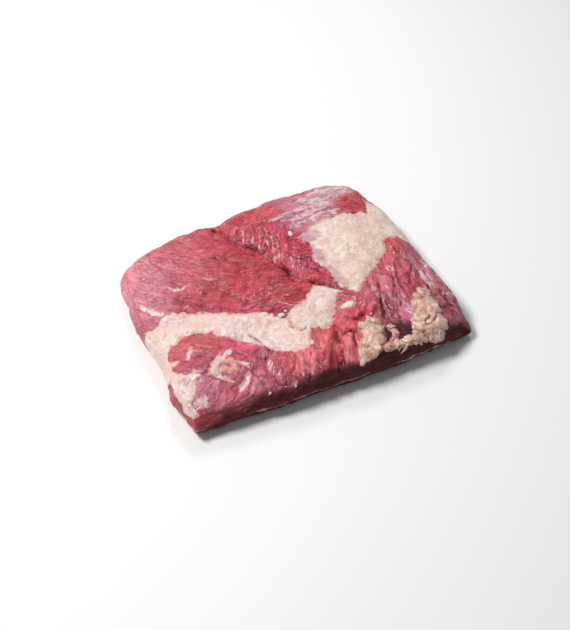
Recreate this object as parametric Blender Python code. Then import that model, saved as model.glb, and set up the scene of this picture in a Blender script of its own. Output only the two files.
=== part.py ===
"""Raw beef brisket: a trimmed slab, one piece of meat with its own fat.

Metres, +Z up. X runs along the slab and Y across it. The origin lies under the middle of the slab,
on the surface that it rests on. A grid makes the upper face, rings extruded from the grid's rim make
the rounded sides, and one flat face makes the underside. Muscles and fat are then raised, and seams
sunk, along the surface's own normals.
"""

import math

import bmesh
import bpy
import numpy as np
from mathutils import Vector, noise

MM = 0.001

# Driving dimensions in millimetres.
LENGTH = 316.0  # of the plan; the sides swell a little beyond it
WIDTH = 248.0
RIM_HEIGHT = 37.0  # the upper face above the board, where it meets the rounded edge
CROWN = 8.0  # how much higher the middle of the upper face lies
LOWER_ROUND = 8.0  # rounding where the sides tuck under
SIDE_SWELL = 2.5  # how far the sides bulge at half height
UNEVEN = 1.0  # irregular swelling of the whole surface
UNEVEN_SPACING = 30.0  # from one such swelling to the next

# Faces of the mesh.
COLUMNS = 58
ROWS = 45
UPPER_RINGS = 3
LOWER_RINGS = 3

# Radius of the rounded upper edge along each side, in millimetres.
UPPER_ROUND = {"near": 7.0, "far": 16.0, "left": 13.0, "right": 11.0}

# The plan: what each side passes through, in shares of half the length and half the width.
NEAR_SIDE = (
    (-0.94, -0.89), (-0.64, -0.92), (-0.33, -0.96), (-0.02, -0.98),
    (0.30, -1.01), (0.67, -1.01), (1.01, -0.985),
)
FAR_SIDE = (
    (-0.93, 0.78), (-0.78, 0.88), (-0.55, 0.96), (-0.30, 0.99), (-0.14, 0.955),
    (0.00, 1.01), (0.24, 1.02), (0.55, 1.00), (0.75, 0.96), (0.865, 0.87),
)
LEFT_SIDE = (
    (-0.94, -0.89), (-0.965, -0.60), (-0.945, -0.25), (-0.968, 0.00),
    (-0.98, 0.18), (-0.967, 0.44), (-0.957, 0.64), (-0.93, 0.78),
)
RIGHT_SIDE = (
    (1.01, -0.985), (1.02, -0.76), (1.005, -0.40), (0.985, 0.00),
    (0.983, 0.18), (0.957, 0.48), (0.912, 0.73), (0.865, 0.87),
)

# Muscles and fat pads that stand up, and hollows that dip, in millimetres:
# middle x, middle y, half length, half width, turn in degrees, rise.
SWELLINGS = {
    "left_muscle": (-92, 50, 86, 56, -26, 4.5),
    "left_shoulder": (-131, 61, 30, 34, 20, 2.0),
    "far_muscle": (40, 85, 72, 28, 6, 2.5),
    "far_fat_pad": (90, 22, 46, 60, -20, 3.5),
    "near_left_muscle": (-106, -66, 52, 30, -14, 4.5),
    "near_middle_muscle": (-26, -100, 42, 24, -8, 5.0),
    "near_fold": (24, -102, 17, 26, 6, 3.5),
    "near_fat_fold": (50, -104, 24, 24, 14, 3.5),
    "tongue": (58, -62, 28, 22, -30, 3.5),
    "right_muscle": (113, -50, 24, 46, -24, 3.0),
    "right_fat_fold": (116, -102, 28, 24, 12, 3.5),
    "fat_band_hollow": (-42, -50, 46, 19, -26, -4.5),
    "far_notch": (-28, 114, 14, 18, 0, -3.0),
    "right_hollow": (83, -81, 16, 26, -20, -2.5),
}

# Where the whole slab thins towards a corner, in millimetres:
# middle x, middle y, half length, half width, turn in degrees, share of the height lost.
THINNINGS = {
    "near_right_corner": (166, -128, 54, 40, 55, 0.55),
    "near_left_corner": (-146, -122, 60, 30, 10, 0.22),
}

# Seams between muscles and folds in them, in millimetres: depth, half width, then the points on the way.
SEAMS = {
    "muscle_seam": (4.0, 7.0, ((-32, 124), (-34, 95), (-8, 55), (10, 14), (15, -2), (31, -20), (57, -43))),
    "fat_band_upper": (1.5, 7.0, ((-152, -2), (-121, 5), (-83, -10), (-48, -25), (-20, -42), (4, -35))),
    "fat_band_lower": (2.0, 7.0, ((-134, -27), (-100, -29), (-73, -52), (-43, -77), (-9, -85))),
    "near_crease": (5.0, 6.0, ((22, -64), (18, -83), (11, -103), (2, -130))),
    "near_pleat": (3.0, 6.0, ((-36, -93), (-42, -110), (-48, -130))),
    "fat_fold_left": (2.5, 6.0, ((52, -80), (42, -97), (31, -124))),
    "fat_fold_right": (3.0, 6.0, ((65, -70), (69, -95), (80, -122))),
    "right_fold": (3.0, 6.0, ((101, -37), (91, -62), (95, -87), (103, -110))),
    "right_edge_fold": (2.5, 6.0, ((145, -57), (139, -85), (134, -118))),
}


def clear_scene():
    for item in list(bpy.data.objects):
        bpy.data.objects.remove(item, do_unlink=True)


def curve_through(points, count):
    """Evenly spaced points on a smooth curve through the given ones."""
    given = [Vector((x, y, 0.0)) for x, y in points]
    ends = [given[0] * 2 - given[1]] + given + [given[-1] * 2 - given[-2]]
    fine = []
    for i in range(1, len(ends) - 2):
        before, start, end, after = ends[i - 1 : i + 3]
        for step in range(16):
            t = step / 16
            fine.append(
                0.5 * (2 * start + (end - before) * t
                       + (2 * before - 5 * start + 4 * end - after) * t * t
                       + (3 * start - before - 3 * end + after) * t * t * t)
            )
    fine.append(given[-1])
    run = np.cumsum([0.0] + [(b - a).length for a, b in zip(fine, fine[1:])])
    wanted = np.linspace(0.0, run[-1], count + 1)
    return np.array([[np.interp(w, run, [p[axis] for p in fine]) for axis in (0, 1)] for w in wanted])


def smooth_step(value):
    value = min(max(value, 0.0), 1.0)
    return value * value * (3.0 - 2.0 * value)


def plan_sides():
    """The four sides of the plan in metres, each running towards +X or +Y."""
    half = np.array([LENGTH, WIDTH]) * 0.5 * MM
    near = curve_through(NEAR_SIDE, COLUMNS) * half
    far = curve_through(FAR_SIDE, COLUMNS) * half
    left = curve_through(LEFT_SIDE, ROWS) * half
    right = curve_through(RIGHT_SIDE, ROWS) * half
    return near, far, left, right


def filled_plan():
    """Points of the plan, row by row, blended between the four sides."""
    near, far, left, right = plan_sides()
    rows = []
    for j in range(ROWS + 1):
        v = j / ROWS
        row = []
        for i in range(COLUMNS + 1):
            u = i / COLUMNS
            across = (1 - v) * near[i] + v * far[i]
            along = (1 - u) * left[j] + u * right[j]
            corners = (
                (1 - u) * (1 - v) * near[0] + u * (1 - v) * near[-1]
                + (1 - u) * v * far[0] + u * v * far[-1]
            )
            row.append(across + along - corners)
        rows.append(row)
    return rows


def upper_round(u, v):
    """Radius of the rounded upper edge at a place on the rim, in metres."""
    weights = {
        "near": (1 - v) ** 6, "far": v ** 6, "left": (1 - u) ** 6, "right": u ** 6,
    }
    total = sum(weights.values())
    return sum(UPPER_ROUND[side] * weight for side, weight in weights.items()) / total * MM


def rim_order():
    """Columns and rows of the grid's rim, once round."""
    order = [(i, 0) for i in range(COLUMNS)]
    order += [(COLUMNS, j) for j in range(ROWS)]
    order += [(i, ROWS) for i in range(COLUMNS, 0, -1)]
    order += [(0, j) for j in range(ROWS, 0, -1)]
    return order


def outward_directions(loop):
    """For each point of a closed outline, the level direction that leaves it."""
    directions = []
    for k, point in enumerate(loop):
        along = loop[(k + 1) % len(loop)] - loop[k - 1]
        directions.append(Vector((along[1], -along[0], 0.0)).normalized())
    return directions


def add_upper_face(mesh):
    """The upper face inside its rounded edge: a grid laid over the plan."""
    plan = filled_plan()
    bmesh.ops.create_grid(mesh, x_segments=COLUMNS, y_segments=ROWS, size=1.0)
    grid = {}
    for vert in mesh.verts:
        i = round((vert.co.x + 1) * 0.5 * COLUMNS)
        j = round((vert.co.y + 1) * 0.5 * ROWS)
        grid[i, j] = vert
    half_x, half_y = LENGTH * 0.5 * MM, WIDTH * 0.5 * MM
    for (i, j), vert in grid.items():
        u, v = i / COLUMNS, j / ROWS
        x, y = plan[j][i]
        inset = upper_round(u, v)
        x *= 1 - inset / half_x
        y *= 1 - inset / half_y
        crown = CROWN * MM * (1 - (2 * u - 1) ** 2) * (1 - (2 * v - 1) ** 2)
        vert.co = (x, y, RIM_HEIGHT * MM + crown)
    return grid


def add_sides(mesh, grid):
    """Rings extruded from the rim: the rounded edge, the wall and the lower rounding."""
    near, far, left, right = plan_sides()
    order = rim_order()
    loop = []
    for i, j in order:
        if j == 0:
            loop.append(near[i])
        elif i == COLUMNS:
            loop.append(right[j])
        elif j == ROWS:
            loop.append(far[i])
        else:
            loop.append(left[j])
    outward = outward_directions(loop)
    ring = [grid[place] for place in order]
    rims = [vert.co.copy() for vert in ring]
    low = LOWER_ROUND * MM
    levels = [("upper", (k + 1) / (UPPER_RINGS + 1) * 90) for k in range(UPPER_RINGS)]
    levels += [("upper", 90.0), ("wall", 0.34), ("wall", 0.67), ("lower", 0.0)]
    levels += [("lower", (k + 1) / LOWER_RINGS * 90) for k in range(LOWER_RINGS)]
    for kind, amount in levels:
        edges = [mesh.edges.get((ring[k], ring[(k + 1) % len(ring)])) for k in range(len(ring))]
        made = bmesh.ops.extrude_edge_only(mesh, edges=edges)["geom"]
        fresh = {vert for vert in made if isinstance(vert, bmesh.types.BMVert)}
        ring = [next(edge.other_vert(vert) for edge in vert.link_edges if edge.other_vert(vert) in fresh)
                for vert in ring]
        for k, vert in enumerate(ring):
            i, j = order[k]
            edge_round = upper_round(i / COLUMNS, j / ROWS)
            outer = Vector((loop[k][0], loop[k][1], 0.0))
            inner = Vector((rims[k].x, rims[k].y, 0.0))
            shoulder = RIM_HEIGHT * MM - edge_round
            if kind == "upper":
                turn = math.radians(amount)
                spot = inner.lerp(outer, math.sin(turn))
                height = shoulder + edge_round * math.cos(turn)
            elif kind == "wall":
                spot = outer + outward[k] * (SIDE_SWELL * MM * math.sin(math.pi * (0.15 + 0.7 * amount)))
                height = shoulder + (low - shoulder) * amount
            else:
                turn = math.radians(amount)
                spot = outer - outward[k] * (low * (1 - math.cos(turn)))
                height = low * (1 - math.sin(turn))
            vert.co = (spot.x, spot.y, height)
    mesh.faces.new(ring)


def mounds(x, y, shapes):
    """The sum of some rounded mounds at a place, in the measure of their last number."""
    total = 0.0
    for mid_x, mid_y, half_long, half_wide, turn, rise in shapes.values():
        c, s = math.cos(math.radians(turn)), math.sin(math.radians(turn))
        along = ((x - mid_x) * c + (y - mid_y) * s) / half_long
        across = ((y - mid_y) * c - (x - mid_x) * s) / half_wide
        reach = along * along + across * across
        if reach < 1.0:
            total += rise * (1.0 - reach) ** 2 * (1.0 + 0.5 * reach)
    return total


def seam_depth(x, y):
    """How deep the seams and folds sink the surface at a place, in millimetres."""
    total = 0.0
    spot = Vector((x, y))
    for depth, half_width, points in SEAMS.values():
        best, share = 1e9, 0.0
        for k, (start, end) in enumerate(zip(points, points[1:])):
            a, b = Vector(start), Vector(end)
            t = min(max((spot - a).dot(b - a) / (b - a).length_squared, 0.0), 1.0)
            gap = (spot - a.lerp(b, t)).length
            if gap < best:
                best, share = gap, (k + t) / (len(points) - 1)
        fade = smooth_step(share * 5) * smooth_step((1 - share) * 5) if share < 1 else 0.0
        fade = max(fade, 0.25)
        total += depth * fade * math.exp(-(best / half_width) ** 2)
    return total


def raise_flesh(mesh):
    """Moves the surface along its normals: swellings, seams and irregular unevenness."""
    mesh.normal_update()
    moves = {}
    for vert in mesh.verts:
        x, y, z = vert.co / MM
        hold = smooth_step((z - 1.0) / 12.0)  # the underside stays where it is
        facing_up = smooth_step((vert.normal.z - 0.1) / 0.7)
        place = vert.co / (UNEVEN_SPACING * MM)
        uneven = noise.noise(place) + 0.5 * noise.noise(place * 2.1 + Vector((7.0, 3.0, 5.0)))
        move = mounds(x, y, SWELLINGS) * facing_up
        move -= seam_depth(x, y) * (0.35 + 0.65 * facing_up)
        move += UNEVEN * 2.0 * uneven
        moves[vert] = vert.normal * (move * hold * MM)
    for vert, step in moves.items():
        vert.co += step


def thin_corners(mesh):
    """Lowers everything over a corner in proportion to its height."""
    for vert in mesh.verts:
        vert.co.z *= 1.0 - mounds(vert.co.x / MM, vert.co.y / MM, THINNINGS)


def settle(mesh):
    """Puts the middle of the slab over the origin, the underside at height nought."""
    low = [min(vert.co[axis] for vert in mesh.verts) for axis in range(3)]
    high = [max(vert.co[axis] for vert in mesh.verts) for axis in range(3)]
    middle = Vector(((low[0] + high[0]) / 2, (low[1] + high[1]) / 2, low[2]))
    bmesh.ops.translate(mesh, verts=mesh.verts, vec=-middle)


def raw_beef_material():
    material = bpy.data.materials.new("raw_beef")
    material.use_nodes = True
    surface = material.node_tree.nodes["Principled BSDF"]
    surface.inputs["Base Color"].default_value = (0.50, 0.15, 0.17, 1.0)
    surface.inputs["Roughness"].default_value = 0.42
    surface.inputs["Metallic"].default_value = 0.0
    material.diffuse_color = (0.50, 0.15, 0.17, 1.0)
    return material


def make_brisket():
    mesh = bmesh.new()
    grid = add_upper_face(mesh)
    add_sides(mesh, grid)
    raise_flesh(mesh)
    thin_corners(mesh)
    settle(mesh)
    bmesh.ops.recalc_face_normals(mesh, faces=mesh.faces)
    data = bpy.data.meshes.new("brisket")
    mesh.to_mesh(data)
    mesh.free()
    data.shade_smooth()
    brisket = bpy.data.objects.new("brisket", data)
    brisket.data.materials.append(raw_beef_material())
    bpy.context.scene.collection.objects.link(brisket)
    return brisket


clear_scene()
make_brisket()
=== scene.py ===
"""Looks of a raw beef brisket: one slab of meat, its fat and silverskin, on a pale floor."""

import itertools
import math
import random

import bpy
import numpy as np
from mathutils import Matrix, Vector
from mathutils.bvhtree import BVHTree


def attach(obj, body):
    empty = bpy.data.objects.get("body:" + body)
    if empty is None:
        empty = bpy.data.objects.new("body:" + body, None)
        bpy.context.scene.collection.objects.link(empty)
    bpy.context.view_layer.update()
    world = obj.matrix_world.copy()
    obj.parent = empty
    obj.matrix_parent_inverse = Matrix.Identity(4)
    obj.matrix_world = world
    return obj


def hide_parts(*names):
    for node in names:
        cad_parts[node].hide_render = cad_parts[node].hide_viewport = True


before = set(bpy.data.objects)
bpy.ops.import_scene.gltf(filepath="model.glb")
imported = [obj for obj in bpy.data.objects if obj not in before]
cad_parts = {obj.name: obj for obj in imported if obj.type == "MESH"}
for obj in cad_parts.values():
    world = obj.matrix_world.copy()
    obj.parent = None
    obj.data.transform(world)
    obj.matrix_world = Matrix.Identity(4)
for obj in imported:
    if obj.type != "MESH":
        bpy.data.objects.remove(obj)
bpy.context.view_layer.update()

bl_info = {
    "name": "Raw beef brisket",
    "version": (1, 0, 0),
    "blender": (4, 5, 0),
    "location": "3D View > Sidebar > Brisket",
    "description": "Builds a raw beef brisket with its fat and silverskin",
    "category": "Add Mesh",
}

MM = 0.001
RIM = 38.0  # height in mm at which the upper face turns over into the sides
PLAN_SHIFT = 3.0  # the plan's zero lies this far in mm to the left of the slab's middle
NEAR_EDGE = -125.0  # where the near side's edge runs on the plan, in mm
TURNS_OVER = (0.2, 0.7)  # how steep the skin is where the top starts and ends turning into a side
NODULES_SETTLE = 0.7  # the share of a nodule's height that is left once it has settled

# The camera: where it looks in metres, how far off it stands, how far it is turned and raised in degrees.
CAMERA_AIM = (-0.0135, -0.0268, 0.022)
CAMERA_DISTANCE = 1.0537
CAMERA_TURN, CAMERA_RISE = -26.0, 52.0
CAMERA_LENS, CAMERA_SENSOR = 57.0, 36.0

# Lights, aimed at one spot: place and size in metres, power in watts, tint.
LIGHTS_AIM = (0, 0, 0.03)
LIGHTS = {
    "key_light": ((-0.75, 0.40, 1.45), 0.5, 24.5, (1.0, 0.995, 0.985)),
    "back_light": ((0.46, 0.94, 1.34), 0.45, 6.5, (0.97, 0.985, 1.0)),
}
SKY_TINT, SKY_STRENGTH = (0.93, 0.96, 1.0, 1), 0.24

# The meat is mapped in millimetres as seen from above, with the sides folded out flat.

# Patches of fat: standing height, lump size, lump height, ragged edge, tone, outline.
FAT_PATCHES = {
    "band": (1.0, 13.0, 0.5, 2.2, "#e3c8bf", (
        (-165, 9), (-151, 7), (-142, 8), (-130, 15), (-120, 13), (-108, 7), (-96, 3), (-86, -4),
        (-69, -13), (-48, -23), (-34, -30), (-28, -35), (-25, -40), (-19, -44), (-16, -47),
        (-14, -42), (-5, -36), (2, -36), (11, -34), (14, -29), (21, -25), (25, -19), (32, -21),
        (38, -26), (45, -33), (53, -39), (46, -41), (40, -45), (34, -54), (33, -59), (28, -65),
        (24, -70), (17, -75), (8, -73), (0, -69), (-5, -73), (-5, -84), (-17, -90), (-26, -89),
        (-36, -80), (-44, -76), (-52, -67), (-63, -58), (-72, -50), (-79, -45), (-84, -38),
        (-92, -33), (-95, -26), (-107, -22), (-116, -19), (-127, -21), (-137, -25), (-144, -30),
        (-149, -36), (-146, -43), (-150, -48), (-145, -56), (-138, -64), (-127, -65), (-124, -72),
        (-132, -77), (-136, -86), (-141, -91), (-147, -96), (-144, -110), (-145, -118),
        (-154, -117), (-161, -107), (-168, -96), (-161, -88), (-160, -76), (-164, -59),
        (-173, -48), (-176, -30), (-177, -12), (-174, 4),
    )),
    "cap": (0.9, 15.0, 0.3, 2.6, "#e2c8bc", (
        (42, 47), (45, 40), (49, 34), (50, 29), (47, 23), (42, 11), (46, 2), (50, -6), (49, -13),
        (50, -25), (53, -34), (58, -41), (63, -48), (68, -48), (72, -42), (80, -36), (91, -30),
        (99, -25), (109, -17), (117, -10), (122, -6), (124, 1), (126, 6), (133, 8), (141, 7),
        (147, 3), (153, -4), (168, -6), (178, 8), (174, 26), (168, 44), (160, 62), (147, 70),
        (141, 68), (134, 60), (130, 53), (118, 56), (108, 61), (100, 63), (92, 60), (80, 64),
        (70, 61), (57, 55),
    )),
    "corner_sliver": (0.5, 8.0, 0.3, 1.6, "#dccac2", (
        (140, 78), (145, 70), (152, 58), (144, 52), (134, 57),
    )),
    "left_clump": (0.9, 5.0, 0.8, 2.4, "#cc9a8b", (
        (44, -83), (50, -82), (54, -87), (58, -81), (66, -80), (70, -86), (69, -94), (66, -103),
        (62, -109), (60, -117), (53, -122), (44, -126), (34, -130), (25, -130), (27, -120),
        (32, -111), (34, -105), (38, -101), (43, -101), (45, -92), (43, -88),
    )),
    "middle_strand": (0.6, 4.0, 0.5, 1.6, "#cc9f95", (
        (69, -93), (73, -97), (78, -93), (79, -101), (78, -110), (74, -116), (66, -118),
        (62, -116), (70, -111), (74, -105), (72, -99),
    )),
    "rim_strip": (1.2, 6.0, 0.5, 1.4, "#cf9d8b", (
        (54, -117), (66, -115), (76, -117), (88, -117), (96, -119), (97, -126), (86, -130),
        (72, -129), (56, -127),
    )),
    "right_clump": (0.9, 6.0, 0.9, 2.6, "#c39b8e", (
        (119, -70), (128, -67), (136, -70), (139, -79), (140, -87), (133, -96), (131, -106),
        (131, -115), (129, -124), (124, -138), (116, -146), (110, -140), (100, -131), (88, -129),
        (86, -121), (93, -113), (98, -103), (104, -96), (107, -87), (113, -79),
    )),
    "wedge_bit": (0.5, 5.0, 0.2, 2.4, "#ecd6ca", (
        (38, -56), (44, -55), (51, -58), (55, -62), (46, -65), (38, -61),
    )),
    "swirl_arm": (0.7, 5.0, 0.4, 3.0, "#dbb5b0", (
        (-88, -57), (-95, -58), (-103, -61), (-111, -65), (-117, -72), (-114, -79), (-107, -86),
        (-101, -92), (-96, -96), (-98, -89), (-103, -83), (-109, -76), (-104, -69), (-97, -65),
        (-89, -64), (-84, -60),
    )),
    "swirl_ridge": (1.0, 4.0, 0.3, 1.6, "#e0a091", (
        (-106, -75), (-100, -74), (-92, -76), (-86, -80), (-86, -84), (-93, -80), (-101, -78),
        (-107, -79),
    )),
    "swirl_crest": (0.9, 4.0, 0.3, 1.6, "#dd9a8e", (
        (-102, -65), (-95, -66), (-89, -69), (-83, -74), (-85, -77), (-91, -72), (-97, -69),
        (-103, -68),
    )),
    "swirl_tip": (0.6, 4.0, 0.3, 1.8, "#dcc3cb", (
        (-87, -73), (-80, -75), (-75, -78), (-77, -84), (-82, -79),
    )),
    "left_spot": (0.6, 4.0, 0.3, 2.6, "#e0c3c2", (
        (-130, -48), (-127, -40), (-119, -34), (-120, -41), (-125, -49),
    )),
    "left_finger": (0.8, 4.0, 0.3, 1.4, "#ecd3c6", (
        (-151, -40), (-144, -41), (-137, -45), (-140, -48), (-147, -47),
    )),
    "left_sliver": (0.7, 4.0, 0.2, 1.2, "#ebccc4", (
        (-149, 44), (-142, 35), (-134, 24), (-128, 17), (-132, 15), (-139, 22), (-146, 32),
    )),
    "pale_sliver": (0.5, 4.0, 0.2, 1.8, "#e8bfbb", (
        (-117, 47), (-109, 41), (-100, 39), (-90, 38), (-101, 35), (-109, 37),
    )),
    "corner_white": (0.7, 4.0, 0.3, 2.4, "#dcc4c9", (
        (-139, -93), (-128, -94), (-129, -100), (-135, -105), (-141, -100),
    )),
}

# Lean lumps and lobes that stand out of the muscles, in mm: x, y, half length, half width, turn, rise.
LUMPS = (
    (30, -94, 9, 7, 20, 2.2), (40, -86, 8, 7, 0, 2.4), (29, -81, 7, 6, 10, 2.0), (24, -104, 11, 7, 70, 2.2),
    (12, -84, 12, 8, 40, 2.4), (4, -96, 9, 7, 60, 1.6), (-4, -108, 14, 6, 76, 2.0),
    (-16, -104, 16, 6, 74, 2.0), (-30, -106, 16, 6, 70, 2.0), (-44, -100, 15, 7, 62, 1.8),
    (-56, -98, 15, 7, 58, 1.6), (-68, -96, 14, 7, 50, 1.4), (-46, -128, 8, 6, 20, 2.2),
    (-22, -128, 8, 6, 20, 1.8), (-2, -130, 9, 6, 10, 1.8), (58, -60, 14, 7, 160, 2.0),
    (70, -66, 14, 7, 120, 2.0), (76, -84, 13, 5, 96, 1.8), (88, -62, 16, 5, 112, 2.2),
    (98, -76, 18, 5, 100, 2.4), (104, -50, 18, 6, 110, 2.0), (118, -40, 18, 7, 96, 2.2),
    (131, -46, 16, 6, 96, 2.2), (128, -14, 12, 8, 60, 1.8), (142, -26, 14, 7, 100, 1.6),
    (142, -91, 11, 4, 98, 2.6), (152, -86, 14, 4, 108, 1.4), (150, -112, 16, 6, 140, 2.0),
    (146, -124, 14, 5, 142, 1.8), (-103, -72, 12, 9, -20, 1.4), (-94, -86, 12, 6, -40, -1.2),
    (-125, -38, 14, 10, -30, 1.2), (-84, -58, 16, 9, -30, 1.2), (-128, -88, 10, 9, 0, 1.2),
    (-34, 112, 9, 6, 30, 1.6), (-170, -76, 14, 20, 90, 2.5),
)

# Pale sinew marks on the muscles, in mm: x, y, half length, half width, turn.
SINEWS = (
    (-8, 84, 7, 1.2, 70), (-13, 72, 4, 1.2, 60), (-4, 68, 6, 1.2, 66), (-1, 56, 5, 1.4, 70),
    (4, 66, 7, 1.1, 70), (9, 58, 6, 1.4, 72), (16, 61, 5, 1.2, 75), (10, 44, 7, 1.3, 72),
    (17, 47, 5, 1.1, 76), (12, 34, 5, 2.0, 75), (6, 33, 4, 1.8, 70), (22, 25, 5, 1.5, 76),
    (24, 41, 6, 1.1, 76), (29, 20, 6, 1.2, 70), (27, 6, 4, 1.2, 60), (19, 14, 3, 1.7, 60),
    (16, 78, 5, 0.9, 70), (24, 62, 5, 0.9, 74), (31, 36, 5, 0.9, 72), (-46, -2, 4, 0.9, 84),
    (-40, -6, 3, 0.8, 8), (-35, -4, 4, 0.8, 80), (-28, -8, 4, 0.8, 84), (-21, -9, 4, 0.8, 76),
    (-32, -12, 5, 0.8, 8), (-24, -2, 3, 0.8, 10), (-16, -4, 4, 0.8, 80), (-104, 14, 5, 1.8, 10),
    (-87, 80, 4, 1.0, -4), (-66, 104, 5, 1.4, -10), (-77, 66, 6, 0.8, -8), (-96, 66, 5, 0.8, -14),
    (-60, 78, 6, 0.8, -6), (-70, 52, 3, 1.0, 20), (-44, 62, 4, 0.9, -6), (-30, 44, 5, 0.7, -4),
    (-8, 20, 5, 0.8, -12), (-52, 34, 4, 0.8, 4), (-86, 22, 5, 0.9, -10), (-6, -20, 6, 0.8, -26),
    (-34, -91, 4, 1.2, 60), (-39, -101, 4, 1.2, 50), (-54, -107, 4, 1.0, 60), (-44, -120, 4, 1.4, 40),
    (-28, -98, 5, 1.0, 76), (-12, -92, 4, 1.0, 70), (0, -88, 4, 0.9, 60), (10, -98, 4, 0.9, 70),
    (-73, -99, 4, 1.1, 50), (-62, -112, 5, 0.9, 60), (-84, -106, 6, 0.9, 40), (-96, -104, 6, 0.8, 38),
    (-108, -108, 7, 0.8, 36), (-90, -96, 7, 1.4, 60), (-79, -90, 6, 1.2, 62), (-60, -90, 5, 1.0, 64),
    (83, -52, 8, 1.4, 100), (81, -62, 6, 1.0, 96), (93, -64, 9, 1.3, 104), (99, -70, 8, 1.2, 100),
    (97, -54, 7, 1.1, 110), (88, -76, 8, 1.0, 96), (106, -72, 7, 1.2, 98), (112, -31, 6, 1.4, 120),
    (126, -16, 3, 1.6, 30), (130, -5, 3, 1.4, 20), (134, -42, 3, 1.2, 80), (122, -44, 8, 0.8, 100),
    (128, -56, 7, 0.8, 96), (110, -50, 8, 0.8, 104), (66, -60, 8, 0.7, 150), (72, -70, 8, 0.7, 124),
    (154, -96, 10, 0.9, 112), (160, -112, 8, 0.9, 116), (152, -66, 8, 0.9, 112), (158, -82, 8, 0.8, 112),
    (148, -118, 7, 0.8, 142), (156, -128, 6, 0.8, 130), (30, -96, 3, 1.2, 0), (42, -90, 3, 1.2, 30),
)

# Where the flesh and fat are stained orange-red: x, y, reach in mm.
STAINS = (
    (-34, 108, 7), (-27, 98, 5), (-45, 106, 5), (-137, -33, 5), (-143, -42, 5), (-120, -23, 5),
    (-100, -27, 5), (-86, -40, 4), (-14, -57, 4), (-11, -66, 4), (6, -72, 6), (20, -72, 6),
    (29, -66, 4), (26, -20, 5), (33, -20, 4), (53, -41, 5), (59, -44, 4), (84, -34, 5), (97, -25, 5),
    (108, -16, 5), (118, -8, 5), (133, 3, 7), (127, -2, 4), (36, -61, 4), (30, -57, 3), (-90, -79, 5),
    (-101, -77, 4), (-94, -68, 4), (-88, -86, 4), (55, -72, 4), (64, -74, 4), (108, -132, 8),
    (118, -140, 6), (44, -124, 5), (62, -120, 5), (-128, 88, 6), (-150, 88, 7), (16, -84, 7),
)

# Bundles of fibres: direction in degrees or the middle of their arcs, pale streaks, relief, places.
BUNDLES = {
    "thick_muscle": ((25, 190), 0.25, 0.6, (
        (-100, 90), (-95, 60), (-70, 90), (-70, 60), (-50, 80), (-60, 30), (-30, 60), (-95, 20),
        (-60, 0), (-20, 20), (0, 0), (-20, -20), (5, -15), (-50, 100), (-40, 90), (-20, 50),
    )),
    "thick_shoulder": ((25, 190), 0.1, 0.3, (
        (-160, 70), (-130, 90), (-126, 60), (-122, 40), (-140, 30), (-160, 30), (-125, 22),
    )),
    "laddered_muscle": (64, 0.7, 0.9, ((-22, 96), (-6, 80), (8, 62), (18, 46), (26, 28), (20, 66), (28, 8))),
    "far_strip": (4, 0.35, 0.4, ((0, 112), (30, 96), (60, 100), (90, 108), (120, 104), (45, 118))),
    "corner_muscle": (-24, 0.2, 0.7, ((125, 80), (140, 88))),
    "under_cap": ((20, -60), 0.35, 0.9, ((38, 24), (38, -4), (44, -20), (36, 40), (60, -40))),
    "right_upper": (78, 0.35, 0.9, ((126, -14), (142, -18), (152, -30), (112, -34))),
    "right_inner": ((170, -66), 0.45, 1.0, ((96, -48), (108, -62), (92, -74), (112, -80), (86, -96))),
    "right_edge": (100, 0.4, 1.0, ((146, -52), (150, -72), (160, -40))),
    "right_end": (-38, 0.35, 1.0, ((146, -98), (152, -116), (140, -118), (160, -90))),
    "tongue_muscle": ((96, -96), 0.3, 0.8, ((62, -54), (74, -62), (82, -76), (60, -68))),
    "small_lumps": (40, 0.2, 0.7, ((44, -72), (34, -76), (38, -90))),
    "ridge": (72, 0.25, 0.6, ((26, -108), (8, -92), (-6, -100), (-20, -100), (-30, -108), (14, -84))),
    "pleats": (58, 0.5, 0.9, ((-44, -96), (-60, -92), (-52, -112), (-72, -86))),
    "near_left_muscle": (-34, 0.3, 0.6, ((-80, -58), (-100, -40), (-118, -50), (-128, -40), (-92, -54))),
    "near_left_low": (34, 0.4, 0.7, ((-86, -98), (-108, -104), (-124, -90), (-120, -116), (-72, -110))),
    "near_left_swirl": ((-98, -76), 0.4, 0.8, ((-98, -76), (-90, -84))),
}

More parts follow.
